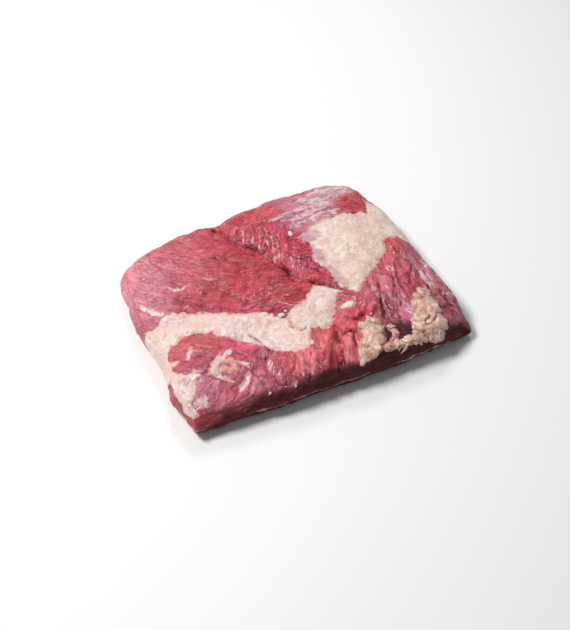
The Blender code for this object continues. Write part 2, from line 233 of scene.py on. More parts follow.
# Tones of the lean meat, from place to place: x, y, colour, reach in mm.
TONES = (
    (-150, 75, "#de8795", 16), (-140, 50, "#c78190", 20), (-150, 28, "#c36e7f", 16),
    (-130, 88, "#cf8795", 18), (-115, 60, "#c27484", 20), (-125, 25, "#b86173", 15),
    (-100, 90, "#c3606f", 18), (-95, 50, "#b84d5f", 18), (-95, 20, "#ae364a", 16),
    (-75, 75, "#c25a6b", 18), (-70, 40, "#b14656", 18), (-65, 8, "#be4052", 16),
    (-50, 80, "#bb4458", 16), (-40, 50, "#aa2c3b", 18), (-40, 15, "#b9364a", 18),
    (-30, -12, "#a92f44", 14), (-15, 30, "#b23344", 16), (-8, -12, "#a72a3c", 14),
    (6, 4, "#a62e40", 10), (-10, 82, "#ac3248", 12), (10, 60, "#ab2339", 12), (-72, 20, "#a62b3f", 12),
    (10, 96, "#bf384e", 14), (30, 40, "#b93149", 12), (30, 74, "#b43e5a", 10),
    (30, 10, "#b64055", 12), (20, -8, "#c24350", 8), (30, 105, "#c24757", 12),
    (60, 104, "#c8808f", 14), (60, 75, "#c8889a", 12), (90, 100, "#c98694", 14),
    (110, 105, "#caa0a8", 12), (130, 102, "#c89ca6", 12), (124, 78, "#b63a44", 12),
    (145, 80, "#b63a44", 12), (62, -57, "#cb5865", 8), (75, -58, "#c56476", 9),
    (55, -74, "#cd4a5f", 9), (36, -76, "#d0596a", 9), (40, -92, "#d25f68", 8),
    # The tone at (26, -110), near the near rim, is lightened as painted light on that lump.
    (26, -110, "#e0737d", 12), (95, -45, "#ca6874", 10), (110, -42, "#b84b5a", 12),
    (126, -16, "#c04e5e", 12), (142, -25, "#ad5d6a", 12), (84, -76, "#9a424f", 10),
    (96, -66, "#b65c74", 10), (120, -55, "#b94a60", 12), (145, -50, "#b26e7a", 10),
    (146, -92, "#934a56", 14), (152, -112, "#b0606a", 14), (99, -86, "#bb6a80", 9),
    (0, -92, "#d25a63", 10), (-2, -108, "#a5363f", 9), (-20, -100, "#e67283", 12),
    (-40, -95, "#c8565c", 10), (-60, -85, "#aa485c", 12), (-60, -106, "#b05064", 12),
    (-80, -60, "#ca4f64", 12), (-100, -38, "#bc505d", 12), (-118, -34, "#c15861", 8),
    (-110, -54, "#a73e55", 10), (-98, -76, "#c76c7c", 10), (-126, -84, "#c06f86", 10),
    (-100, -110, "#b64b60", 12), (-122, -104, "#b2596d", 10), (-82, -100, "#c06c80", 10),
    (-150, -120, "#b8343f", 8), (-176, -80, "#a23a44", 14), (-176, 20, "#bd6472", 14),
    # The near side's tones are far darker than its flesh: painted shade.
    (0, -152, "#470409", 30), (80, -152, "#430409", 30), (-100, -152, "#4d060c", 28),
    (150, -150, "#4b050b", 22), (-125, -143, "#560911", 12),
    (-60, -139, "#4d070d", 12), (40, -141, "#43050a", 12), (100, -143, "#43050a", 12),
    (190, -60, "#a85560", 30), (190, 60, "#a54a55", 30), (60, 150, "#a84855", 40),
    (-100, 140, "#b45260", 40), (168, -138, "#a8222f", 7), (-132, -128, "#9c1d2a", 9),
    (-100, -126, "#8c1a26", 9),
)

# Creases between muscles and cuts in the surface, in mm: depth, half width, raised lip, way.
CREASES = (
    (1.7, 2.2, 0.9, ((-31, 120), (-33, 104), (-25, 88), (-15, 69), (-4, 54), (3, 38), (10, 18), (12, -5))),
    (2.0, 2.2, 0.8, ((12, -5), (24, -12), (32, -18), (46, -32), (59, -42))),
    (3.4, 1.7, 0.6, ((-36, 107), (-32, 102), (-27, 99))),
    (2.6, 1.8, 0.0, ((9, 22), (11, 12), (11, 2), (14, -7))),
    (1.6, 1.5, 0.0, ((-17, 72), (-12, 64), (-4, 54), (-1, 46))),
    (1.7, 1.2, 0.5, ((-60, 62), (-50, 57), (-38, 50))),
    (1.3, 1.4, 0.3, ((-103, 93), (-97, 78), (-86, 67))),
    (1.5, 1.4, 0.3, ((-89, 60), (-80, 42), (-73, 33), (-53, 22))),
    (1.4, 1.4, 0.4, ((-118, 39), (-107, 23), (-95, 7), (-82, -3))),
    (1.5, 1.4, 0.4, ((-70, 19), (-56, 4), (-43, -12), (-30, -28))),
    (1.1, 1.2, 0.2, ((-72, 27), (-60, 22), (-46, 14))),
    (1.0, 1.2, 0.2, ((-44, 34), (-28, 25), (-8, 18))),
    (1.0, 1.2, 0.2, ((-96, 72), (-80, 60), (-64, 54))),
    (0.9, 1.2, 0.2, ((-78, 86), (-60, 76), (-44, 70))),
    (0.9, 1.2, 0.2, ((-104, 40), (-90, 24), (-78, 14))),
    (3.0, 1.5, 0.6, ((-62, -44), (-57, -54), (-51, -65))),
    (2.0, 1.3, 0.5, ((-16, -46), (-17, -55), (-15, -62), (-10, -67), (-3, -66))),
    (5.0, 2.4, 0.8, ((27, -72), (22, -80), (18, -88), (17, -97), (12, -107), (8, -118), (4, -136))),
    (2.6, 1.7, 0.4, ((36, -69), (41, -76), (50, -79), (60, -76))),
    (2.4, 1.5, 0.3, ((22, -91), (29, -88), (36, -90), (42, -94))),
    (2.2, 1.5, 0.3, ((33, -84), (36, -91), (33, -100), (30, -112))),
    (3.2, 1.8, 0.5, ((50, -49), (56, -51), (62, -54))),
    (2.8, 2.0, 0.6, ((95, -40), (87, -56), (80, -72), (76, -86), (80, -100), (84, -112))),
    (2.4, 1.7, 0.6, ((101, -58), (95, -74), (91, -88), (88, -108))),
    (2.4, 1.6, 0.5, ((112, -38), (104, -54), (100, -68), (98, -86))),
    (1.9, 1.5, 0.4, ((124, -22), (114, -40), (112, -56), (110, -70))),
    (1.8, 1.4, 0.4, ((138, -36), (126, -50), (122, -64))),
    (3.0, 2.2, 0.6, ((139, -64), (138, -78), (136, -90), (134, -108))),
    (2.8, 1.8, 0.4, ((147, -78), (148, -88), (146, -100))),
    (2.0, 1.8, 0.4, ((138, -98), (146, -106), (154, -122))),
    (2.0, 1.7, 0.4, ((144, -92), (152, -100), (160, -112))),
    (2.0, 1.6, 0.4, ((152, -56), (156, -72), (164, -90))),
    (1.5, 1.4, 0.3, ((-28, -94), (-35, -104), (-38, -120))),
    (1.4, 1.3, 0.3, ((-12, -94), (-22, -108), (-28, -124))),
    (1.5, 1.4, 0.3, ((0, -98), (-8, -110), (-12, -126))),
    (1.5, 1.4, 0.3, ((-44, -88), (-50, -104), (-52, -120))),
    (1.5, 1.4, 0.3, ((-55, -76), (-62, -88), (-64, -100), (-60, -112), (-48, -124))),
    (1.6, 1.5, 0.3, ((-68, -74), (-60, -80), (-48, -86), (-38, -96))),
    (1.6, 1.5, 0.3, ((-78, -84), (-74, -98), (-70, -114))),
    (1.7, 1.5, 0.4, ((-98, -98), (-90, -93), (-80, -84))),
    (1.4, 1.4, 0.3, ((-104, -104), (-94, -100), (-84, -92))),
    (1.4, 1.4, 0.3, ((-92, -112), (-84, -104), (-78, -94))),
    (1.6, 1.6, 0.3, ((-118, -28), (-110, -40), (-100, -48), (-88, -50))),
    (1.4, 1.4, 0.3, ((-124, -52), (-112, -52), (-104, -58))),
    (1.4, 1.5, 0.3, ((-133, -76), (-118, -72), (-110, -82))),
    (1.8, 1.7, 0.3, ((30, 60), (40, 44), (44, 30))),
    (1.8, 1.7, 0.4, ((22, 30), (32, 16), (46, 8))),
    (1.7, 1.5, 0.3, ((26, 10), (38, 0), (48, -14))),
    (1.5, 1.5, 0.3, ((30, 24), (40, 20), (44, 12))),
    (1.9, 1.8, 0.4, ((134, -2), (130, -12), (134, -24), (140, -36))),
    (1.3, 1.6, 0.4, ((-4, 104), (10, 102), (30, 98), (48, 92), (70, 88))),
)

# Silverskin, the thin film on the muscle: x, y, half length, half width, turn, cover.
FILMS = (
    (70, 84, 44, 9, 4, 1.0), (50, 70, 16, 9, 10, 0.9), (98, 100, 46, 20, 4, 0.78),
    (40, 88, 24, 5, 14, 0.8), (124, 108, 22, 12, -20, 0.9), (86, 70, 26, 9, 4, 0.8),
    (-88, -96, 15, 5, 42, 0.9), (-98, -78, 13, 10, 0, 0.6), (-134, -100, 9, 9, 0, 0.7),
    (142, -60, 8, 16, 10, 0.8), (104, -86, 6, 18, 16, 0.55), (130, -78, 6, 14, 8, 0.5),
    (-56, -94, 7, 16, 10, 0.5), (-30, -112, 10, 6, 0, 0.4), (-12, -44, 7, 4, 0, 0.7),
    (112, -34, 5, 10, 40, 0.5), (153, -40, 12, 7, 84, 0.8), (158, -88, 18, 6, 112, 0.6),
    (150, -84, 6, 16, 20, 0.5), (60, -66, 8, 4, -10, 0.35), (-146, -99, 8, 8, 0, 0.7),
    (12, 32, 8, 6, 70, 0.4), (82, -56, 12, 4, 100, 0.6), (-126, -66, 10, 5, -10, 0.5),
)

# Ragged clumps of fat: how many lobes, their smallest and largest radius in mm, how long they are for
# their width, the way they lie in degrees.
CLUMPS = {
    "left_clump": (48, 2.4, 5.2, 1.7, 62),
    "middle_strand": (12, 1.0, 2.0, 2.4, 75),
    "rim_strip": (16, 1.4, 2.6, 2.8, 4),
    "right_clump": (78, 2.0, 4.8, 2.1, 102),
}

# White nodules of fat: x, y, half length, half width, half height before they settle, all in mm, and
# their turn in degrees.
NODULES = (
    (-21, -40, 4.0, 2.7, 2.4, 20), (-15, -37, 2.0, 1.5, 1.4, 60), (37, 57, 4.2, 2.7, 2.6, -20),
    (43, 47, 3.4, 1.9, 1.8, -40), (46, 41, 1.6, 1.2, 1.0, 0), (-71, -122, 1.9, 1.4, 1.3, 40),
    (-69, -104, 1.2, 0.9, 0.8, 0), (-44, -120, 1.5, 1.0, 1.0, 60), (-53, -116, 1.3, 0.8, 0.8, 30),
    (126, -16, 1.4, 1.1, 1.0, 0), (128, -6, 1.2, 1.0, 0.8, 0), (-131, 68, 1.2, 1.1, 0.7, 0),
    (-126, 93, 1.2, 1.0, 0.7, 0), (-140, 22, 1.1, 0.9, 0.6, 0), (-140, 67, 0.9, 0.8, 0.5, 0),
    (-130, -47, 1.3, 0.9, 0.7, 0), (-58, -100, 1.1, 0.9, 0.8, 0), (30, -93, 1.4, 1.0, 0.9, 20),
    (64, -78, 1.8, 1.3, 1.1, 10), (58, -80, 2.0, 1.5, 1.3, 50), (-48, 72, 0.9, 0.7, 0.5, 0),
    (-42, 82, 0.9, 0.7, 0.5, 0), (20, 88, 1.0, 0.8, 0.6, 0),
)

# Loose threads of sinew on the surface: radius, then the way, in mm.
THREADS = (
    (0.55, ((-24, -116), (-22, -112), (-18, -110), (-14, -112), (-13, -115))),
    (0.65, ((-9, -97), (-5, -100), (-2, -98), (-1, -94), (-4, -92))),
    (0.60, ((67, -92), (71, -97), (74, -102), (77, -106), (74, -109))),
    (0.90, ((47, -46), (52, -50), (56, -56), (54, -61), (48, -63))),
    (0.80, ((-17, -25), (-10, -31), (-3, -37), (4, -36))),
    (0.55, ((87, -58), (84, -68), (83, -80), (80, -90))),
    (0.50, ((97, -50), (94, -61), (95, -72), (92, -82))),
    (0.60, ((-150, 42), (-145, 37), (-139, 29), (-131, 20))),
    (0.55, ((120, -74), (116, -82), (112, -90), (108, -98))),
)

# How the lobes of each small piece of fat grow together: size of the skin's grains in mm, rounds of
# softening, roughness in mm, darker and paler tone (painted shade in the hollows, painted highlight on the
# fold tops, mixed with random tone), the fat's reach at its foot and how fast it grows.
SKINS = {
    "clumps": (0.7, 9, 0.28, ("#bd8577", "#e2c4b2"), (-1.2, 2.6)),
    "nodules": (0.4, 3, 0.15, ("#dfcfc6", "#efe3da"), (0.0, 4.0)),
    "threads": (0.3, 2, 0.08, ("#d9aea5", "#e8cfc6"), (0.3, 5.0)),
}

# Where the fat is so thin that the flesh shows through it: x, y, half length, half width, turn, amount.
THIN_FAT = (
    (50, 46, 20, 14, 0, 0.9), (49, 20, 28, 9, 94, 0.75), (53, -18, 28, 8, 102, 0.85),
    (80, 62, 34, 6, 2, 0.7), (112, 58, 14, 4, -20, 0.4), (-128, 6, 14, 5, 0, 0.5),
    (-138, -70, 12, 7, -10, 0.5), (-152, -104, 14, 6, 100, 0.5), (0, -38, 12, 4, 0, 0.5),
    (128, -80, 12, 5, 84, 0.6), (-100, -72, 16, 12, 0, 0.35),
)


def linear(code):
    """A colour written as an sRGB hex value, in linear light with full alpha."""
    shares = [int(code[k : k + 2], 16) / 255 for k in (1, 3, 5)]
    return tuple(s / 12.92 if s <= 0.04045 else ((s + 0.055) / 1.055) ** 2.4 for s in shares) + (1.0,)


def smooth(value, low, high):
    """0 below low, 1 above high, and a soft step between."""
    share = np.clip((value - low) / (high - low), 0.0, 1.0)
    return share * share * (3.0 - 2.0 * share)


# ---------------------------------------------------------------- patterns on points


def scatter_value(cells, seed):
    """A repeatable number from 0 to 1 for each whole-number place."""
    mixed = cells[:, 0] * 374761393 + cells[:, 1] * 668265263 + cells[:, 2] * 1440662683 + seed * 69069
    mixed = mixed & 0xFFFFFFFF
    mixed = ((mixed ^ (mixed >> 13)) * 1274126177) & 0xFFFFFFFF
    return ((mixed ^ (mixed >> 16)) & 0xFFFFFF) / 0xFFFFFF


def waves(points, seed=0):
    """Smooth gradient noise with features one unit wide, about -1 to 1."""
    cell = np.floor(points).astype(np.int64)
    part = points - cell
    ease = part * part * part * (part * (part * 6 - 15) + 10)
    total = np.zeros(len(points))
    for corner in itertools.product((0, 1), repeat=3):
        step = np.array(corner)
        place = cell + step
        turn = scatter_value(place, seed) * 2 * math.pi
        height = scatter_value(place, seed + 17) * 2 - 1
        flat = np.sqrt(1 - height * height)
        slope = np.stack([np.cos(turn) * flat, np.sin(turn) * flat, height], 1)
        weight = np.prod(np.where(step == 1, ease, 1 - ease), 1)
        total += weight * ((part - step) * slope).sum(1)
    return total * 1.7


def rough_waves(points, seed=0, layers=3):
    """Gradient noise with finer layers added."""
    return sum(waves(points * 2.03**k + 5.1 * k, seed + k) * 0.5**k for k in range(layers))


def distance_to_way(places, way):
    """Distance of each place to a line of points, the side it lies on, and how far along it lies."""
    best = np.full(len(places), 1e9)
    side = np.zeros(len(places))
    share = np.zeros(len(places))
    for k, (start, end) in enumerate(zip(way, way[1:])):
        a, run = np.array(start, float), np.array(end, float) - np.array(start, float)
        off = places - a
        t = np.clip((off @ run) / (run @ run), 0.0, 1.0)
        gap = np.linalg.norm(off - t[:, None] * run, axis=1)
        nearer = gap < best
        best[nearer] = gap[nearer]
        side[nearer] = np.sign(run[0] * off[:, 1] - run[1] * off[:, 0])[nearer]
        share[nearer] = ((k + t) / (len(way) - 1))[nearer]
    return best, side, share


def inside_outline(places, outline):
    """Distance to a closed outline in mm, positive inside it."""
    ring = list(outline) + [outline[0]]
    gap = distance_to_way(places, ring)[0]
    inside = np.zeros(len(places), bool)
    x, y = places[:, 0], places[:, 1]
    for (ax, ay), (bx, by) in zip(ring, ring[1:]):
        if ay != by:
            inside ^= ((ay > y) != (by > y)) & (x < (bx - ax) * (y - ay) / (by - ay) + ax)
    return np.where(inside, gap, -gap)


# ---------------------------------------------------------------- the flesh map on a mesh


def mesh_points(mesh):
    """Vertices in mm and their normals."""
    points = np.empty(len(mesh.vertices) * 3)
    mesh.vertices.foreach_get("co", points)
    normals = np.empty(len(mesh.vertices) * 3)
    mesh.vertices.foreach_get("normal", normals)
    return points.reshape(-1, 3) / MM, normals.reshape(-1, 3)


def folded_out(points, normals):
    """Places on the flesh map: seen from above, with the sides folded out flat."""
    level = np.hypot(normals[:, 0], normals[:, 1])
    drop = np.clip(RIM - points[:, 2], 0.0, None) * smooth(level, *TURNS_OVER)
    places = points[:, :2] + normals[:, :2] / np.maximum(level, 1e-6)[:, None] * drop[:, None]
    return places + np.array([PLAN_SHIFT, 0.0])


def bundle_coordinates(places, points):
    """Coordinates along and across the fibres of each bundle, in mm, its pale streaks and its relief."""
    stray = np.stack([waves(points / 14, 41), waves(points / 14, 42)], 1) * 3.5
    wandering = places + stray
    best = np.full(len(places), 1e9)
    along = np.zeros(len(places))
    across = np.zeros(len(places))
    pale = np.zeros(len(places))
    relief = np.zeros(len(places))
    for direction, streaks, standing, spots in BUNDLES.values():
        gap = np.min([np.linalg.norm(wandering - np.array(s), axis=1) for s in spots], axis=0)
        mine = gap < best
        best[mine] = gap[mine]
        if isinstance(direction, tuple):
            off = places - np.array(direction, float)
            radius = np.linalg.norm(off, axis=1)
            middle = np.mean([np.hypot(s[0] - direction[0], s[1] - direction[1]) for s in spots])
            run, over = np.arctan2(off[:, 1], off[:, 0]) * middle, radius
        else:
            c, s = math.cos(math.radians(direction)), math.sin(math.radians(direction))
            run = places[:, 0] * c + places[:, 1] * s
            over = places[:, 1] * c - places[:, 0] * s
        shift = float(np.sum(direction))  # neighbours with their own direction get their own pattern
        along[mine] = run[mine] + shift * 3.7
        across[mine] = over[mine] + shift * 1.9
        pale[mine] = streaks
        relief[mine] = standing
    return along, across, pale, relief


def fat_map(places, points):
    """Distance inside the nearest fat patch, its tone, and how high it stands, all by place."""
    ragged = np.stack([rough_waves(points / 6, 11), rough_waves(points / 6, 12)], 1)
    reach = np.full(len(places), -60.0)
    tone = np.tile(np.array(linear("#e0c8bd")[:3]), (len(places), 1))
    # The near side's fat is given a dark brown tone: painted shade.
    tone[places[:, 1] < NEAR_EDGE - 4.0] = linear("#54302b")[:3]
    height = np.zeros(len(places))
    for number, (stand, lump_size, lump_height, rag, colour, outline) in enumerate(FAT_PATCHES.values()):
        wandering = places + ragged * rag
        low, high = np.min(outline, axis=0) - 12.0, np.max(outline, axis=0) + 12.0
        near = np.nonzero(((wandering > low) & (wandering < high)).all(1))[0]
        gap = inside_outline(wandering[near], outline)
        body = smooth(gap, -1.5, 4.5)
        folds = 1.0 - np.abs(waves(points[near] / lump_size, 50 + number)) * 2.0
        lumpy = lump_height * (folds + 0.5 * waves(points[near] / (lump_size * 0.5), 60 + number))
        height[near] = np.maximum(height[near], body * (stand + lumpy))
        tone[near[gap > reach[near]]] = linear(colour)[:3]
        reach[near] = np.maximum(reach[near], gap)
    return reach, tone, height


def side_layers(points, normals):
    """The fat seam that runs round the sides between two layers of lean, distance inside it in mm."""
    steep = smooth(np.hypot(normals[:, 0], normals[:, 1]), 0.75, 0.95)
    around = points.copy()
    around[:, 2] = 0.0
    level = 15.0 + 4.0 * waves(around / 45, 71) + 1.5 * waves(around / 13, 72)
    half = 0.6 + 2.6 * waves(around / 32, 73) + 0.8 * waves(around / 9, 74)
    return np.where(steep > 0.01, half - np.abs(points[:, 2] - level), -60.0) - (1 - steep) * 6.0


def underside_patches(points, normals):
    """Fat on the underside, distance inside it in mm."""
    under = smooth(-normals[:, 2], 0.5, 0.9)
    return (rough_waves(points / 42 + 3.0, 81) * 16.0 + 3.0) * under - (1 - under) * 30.0


def flesh_tones(places):
    """The lean meat's tone at each place, blended between the given spots."""
    total = np.zeros((len(places), 3))
    weights = np.zeros(len(places))
    for x, y, colour, reach in TONES:
        gap = (places[:, 0] - x) ** 2 + (places[:, 1] - y) ** 2
        weight = 1.0 / (1.0 + gap / reach**2) ** 4
        total += weight[:, None] * np.array(linear(colour)[:3])
        weights += weight
    return total / weights[:, None]


def turned(places, x, y, half_long, half_wide, turn):
    """How far each place lies from the middle of a turned oval: 0 there, 1 on its rim."""
    c, s = math.cos(math.radians(turn)), math.sin(math.radians(turn))
    along = ((places[:, 0] - x) * c + (places[:, 1] - y) * s) / half_long
    across = ((places[:, 1] - y) * c - (places[:, 0] - x) * s) / half_wide
    return np.hypot(along, across)


def soft_ovals(places, ovals):
    """The greatest cover that soft-edged ovals give each place."""
    cover = np.zeros(len(places))
    for *oval, amount in ovals:
        cover = np.maximum(cover, amount * (1.0 - smooth(turned(places, *oval), 0.45, 1.15)))
    return cover


def store(mesh, name, values, kind="FLOAT"):
    """A named value at every vertex, for the material to read."""
    layer = mesh.attributes.new(name, kind, "POINT")
    if kind == "FLOAT":
        layer.data.foreach_set("value", np.ascontiguousarray(values, np.float32))
    elif kind == "FLOAT_VECTOR":
        layer.data.foreach_set("vector", np.ascontiguousarray(values, np.float32).ravel())
    else:
        full = np.concatenate([values, np.ones((len(values), 1))], 1)
        layer.data.foreach_set("color", np.ascontiguousarray(full, np.float32).ravel())


def creases_at(places, points):
    """How far the creases and their lips move the surface in mm, and how strongly each place is darkened as
    painted shade for lying in one of them.
    """
    rise = np.zeros(len(places))
    deep = np.zeros(len(places))
    wander = places + np.stack([waves(points / 8, 31), waves(points / 8, 32)], 1) * 1.5
    broken = 0.5 + 0.5 * smooth(waves(points / 7, 35), -0.35, 0.25)
    for depth, half_width, lip, way in CREASES:
        low, high = np.min(way, axis=0) - 14.0, np.max(way, axis=0) + 14.0
        near = np.nonzero(((wander > low) & (wander < high)).all(1))[0]
        gap, side, share = distance_to_way(wander[near], way)
        ends = np.maximum(smooth(share, 0.0, 0.12) * (1.0 - smooth(share, 0.88, 1.0)), 0.2)
        cut = np.exp(-((gap / half_width) ** 2)) * ends
        rise[near] -= depth * cut
        rise[near] += lip * ends * np.exp(-(((gap - 2.2 * half_width) / (1.6 * half_width)) ** 2))
        deep[near] = np.maximum(deep[near], cut * broken[near] * min(depth / 2.0, 1.0))
    return rise, deep


def store_flesh_map(mesh, points, places, reach, fat_tone, along, across, pale, crease_shade):
    """Writes everything that the material reads: which flesh lies where, and how its grain runs."""
    store(mesh, "fibre", np.stack([along, across, points[:, 2]], 1) * MM, "FLOAT_VECTOR")
    store(mesh, "fat_reach", reach)
    store(mesh, "fat_tone", fat_tone, "FLOAT_COLOR")
    store(mesh, "lean_tone", flesh_tones(places), "FLOAT_COLOR")
    store(mesh, "film", soft_ovals(places, FILMS))
    store(mesh, "thin_fat", soft_ovals(places, THIN_FAT))
    wander = places + np.stack([waves(points / 3, 36), waves(points / 3, 37)], 1) * 0.8
    store(mesh, "sinew", soft_ovals(wander, [(*mark, 1.0) for mark in SINEWS]))
    store(mesh, "stain", soft_ovals(wander, [(x, y, far, far * 0.8, 0, 1.0) for x, y, far in STAINS]))
    store(mesh, "crease_shade", crease_shade)
    store(mesh, "pale_streaks", pale)


def flat_map(mesh, points, normals):
    """A map of the whole skin, named OFBake: top and sides folded out, the underside small beside them."""
    level = np.hypot(normals[:, 0], normals[:, 1])
    side_stretch = 1.6  # the sides get more room than they are high
    spare = 1.02  # the map is this much wider than what it holds
    under_share, under_middle = 0.15, (0.5, 0.965)  # the underside's scale and place
    lowered = 0.06  # how far the rest makes way for it
    turned_over = np.where(normals[:, 2] > 0.0, smooth(level, *TURNS_OVER), 1.0)
    drop = np.clip(RIM - points[:, 2], 0.0, None) * side_stretch * turned_over
    spread = points[:, :2] + normals[:, :2] / np.maximum(level, 1e-4)[:, None] * drop[:, None]
    side = np.abs(spread).max() * 2 * spare
    top = spread / side + 0.5
    top[:, 1] = top[:, 1] - lowered
    under = points[:, :2] * under_share / side + np.array(under_middle)
    corners = np.empty(len(mesh.loops), np.int64)
    mesh.loops.foreach_get("vertex_index", corners)
    sizes = np.empty(len(mesh.polygons), np.int64)
    mesh.polygons.foreach_get("loop_total", sizes)
    facing = np.empty(len(mesh.polygons) * 3)
    mesh.polygons.foreach_get("normal", facing)
    heights = np.empty(len(mesh.polygons) * 3)
    mesh.polygons.foreach_get("center", heights)
    resting = (facing.reshape(-1, 3)[:, 2] < -0.98) & (heights.reshape(-1, 3)[:, 2] < 0.3 * MM)
    places = np.where(np.repeat(resting, sizes)[:, None], under[corners], top[corners])
    layer = mesh.uv_layers.new(name="OFBake")
    layer.uv.foreach_set("vector", np.ascontiguousarray(places, np.float32).ravel())


def grain_waves(along, across, height, size, seed):
    """Waves of the given size in mm along and across the fibres and in height."""
    return waves(np.stack([along / size[0], across / size[1], height / size[2]], 1), seed)


def work_surface(mesh):
    """Raises fat, fibres and folds on the slab's smooth surface and stores its flesh map. Each call of
    waves divides by the waves' size in mm and ends with its own seed."""
    points, normals = mesh_points(mesh)
    flat_map(mesh, points, normals)
    places = folded_out(points, normals)
    along, across, pale, relief = bundle_coordinates(places, points)
    reach, fat_tone, fat_height = fat_map(places, points)
    layer = side_layers(points, normals)
    below = underside_patches(points, normals)
    lean = 1.0 - smooth(reach, -1.0, 1.5)

    fibre = grain_waves(along, across, points[:, 2], (24, 6.5, 12), 21)
    fine_fibre = grain_waves(along, across, points[:, 2], (12, 3.4, 7), 22)
    rise = lean * relief * (1.7 * np.abs(fibre) + 0.7 * np.abs(fine_fibre))
    rise += 0.8 * waves(points / 17, 23) + lean * 0.6 * waves(points / 7, 24)
    rise += fat_height
    rise += 0.6 * smooth(layer, -1.0, 2.0)
    for *oval, lift in LUMPS:
        rise += lift * (1.0 - smooth(turned(places, *oval), 0.15, 1.25))

    # Painted shade: the gaps between fibre bundles and the creases are marked for the material to darken.
    wide_gaps = 1.0 - smooth(np.abs(fibre), 0.0, 0.12)
    fine_gaps = 0.7 - 0.7 * smooth(np.abs(fine_fibre), 0.0, 0.10)
    fold_rise, folds = creases_at(places, points)
    rise += fold_rise
    some = smooth(waves(points / 11, 33), -0.3, 0.3)
    between = lean * np.minimum(relief, 1.2) * 0.5 * np.maximum(wide_gaps, fine_gaps) * some
    crease_shade = np.maximum(between, folds)

    steep = smooth(np.hypot(normals[:, 0], normals[:, 1]), 0.6, 0.95)
    strata = grain_waves(points[:, 0], points[:, 1], points[:, 2], (40, 40, 6), 25)
    rise += steep * (0.9 * strata + 0.5 * waves(points / 9, 26))
    resting = smooth(points[:, 2], 0.2, 5.0)
    points += normals * (rise * resting)[:, None]
    points[:, 2] = np.maximum(points[:, 2], 0.0)

    mesh.vertices.foreach_set("co", (points * MM).ravel())
    mesh.update()
    flat_along = np.where(steep > 0.5, points[:, 0] + points[:, 1], along)
    flat_across = np.where(steep > 0.5, points[:, 2] * 1.4, across)
    everywhere = np.maximum(np.maximum(reach, layer), below)
    store_flesh_map(mesh, points, places, everywhere, fat_tone, flat_along, flat_across, pale, crease_shade)


# ---------------------------------------------------------------- materials


def new_material(name):
    """A material and its one surface shader."""
    material = bpy.data.materials.new(name)
    material.use_nodes = True
    return material, material.node_tree.nodes["Principled BSDF"]


def add_node(material, kind, settings=None, inputs=None):
    """One node: its settings, and each input as a value or as the socket that feeds it."""
    node = material.node_tree.nodes.new(kind)
    for name, value in (settings or {}).items():
        setattr(node, name, value)
    for key, value in (inputs or {}).items():
        if isinstance(value, bpy.types.NodeSocket):
            material.node_tree.links.new(value, node.inputs[key])
        else:
            node.inputs[key].default_value = value
    return node


# The patterns in the flesh: what they follow, their size in mm along and across the grain and in depth,
# layers of finer detail, its roughness, distortion.
PATTERNS = {
    "strands": ("grain", (30.0, 7.5, 14.0), 2.0, 0.5, 0.4),
    "bundles": ("grain", (11.0, 0.8, 6.0), 3.0, 0.62, 0.3),
    "lines": ("grain", (13.0, 0.85, 6.0), 1.0, 0.5, 0.5),
    "ridges": ("grain", (17.0, 1.5, 7.0), 1.5, 0.5, 0.5),
    "threads": ("grain", (4.5, 0.5, 3.0), 2.0, 0.6, 0.0),
    "ticks": ("grain", (1.2, 4.0, 3.0), 1.5, 0.5, 0.0),
    "web": ("grain", (16.0, 5.0, 9.0), 4.0, 0.68, 1.0),
    "fine_web": ("grain", (7.0, 2.6, 5.0), 3.0, 0.6, 1.6),
    "clouds": ("place", (26.0, 26.0, 26.0), 2.0, 0.5, 0.0),
    "blotches": ("place", (9.0, 9.0, 9.0), 3.0, 0.6, 0.3),
    "grains": ("place", (1.8, 1.8, 1.8), 2.0, 0.6, 0.0),
    "edges": ("place", (3.4, 3.4, 3.4), 3.0, 0.65, 0.4),
    "fat_clouds": ("place", (12.0, 12.0, 12.0), 3.0, 0.6, 0.8),
    "fat_veins": ("place", (11.0, 11.0, 11.0), 3.0, 0.55, 1.6),
}
# Their width across the grain is in shares of a bundle.
FOLLOWS_BUNDLES = ("bundles", "lines", "ridges", "threads")


def flesh_patterns(material, looks):
    """Every pattern in the flesh, by name, about 0.2 to 0.8 with 0.5 in the middle."""
    ways = {
        "grain": add_node(material, "ShaderNodeAttribute", {"attribute_name": "fibre"}).outputs["Vector"],
        "place": add_node(material, "ShaderNodeTexCoord").outputs["Object"],
    }
    found = {"place": ways["place"]}
    for name, (way, (long, wide, deep), detail, rough, twist) in PATTERNS.items():
        if name in FOLLOWS_BUNDLES:
            wide *= looks.bundle_width
        placed = add_node(material, "ShaderNodeMapping", {}, {
            "Vector": ways[way], "Scale": (1 / (long * MM), 1 / (wide * MM), 1 / (deep * MM))})
        found[name] = add_node(material, "ShaderNodeTexNoise", {}, {
            "Vector": placed.outputs[0], "Scale": 1.0, "Detail": detail, "Roughness": rough,
            "Distortion": twist}).outputs[0]
    # Thin winding lines lie where each of these crosses its middle.
    for name in ("lines", "ridges", "fat_veins", "fine_web"):
        off = add_node(material, "ShaderNodeMath", {"operation": "SUBTRACT"}, {0: found[name], 1: 0.5})
        found[name] = add_node(material, "ShaderNodeMath", {"operation": "ABSOLUTE"}, {
            0: off.outputs[0]}).outputs[0]
    return found


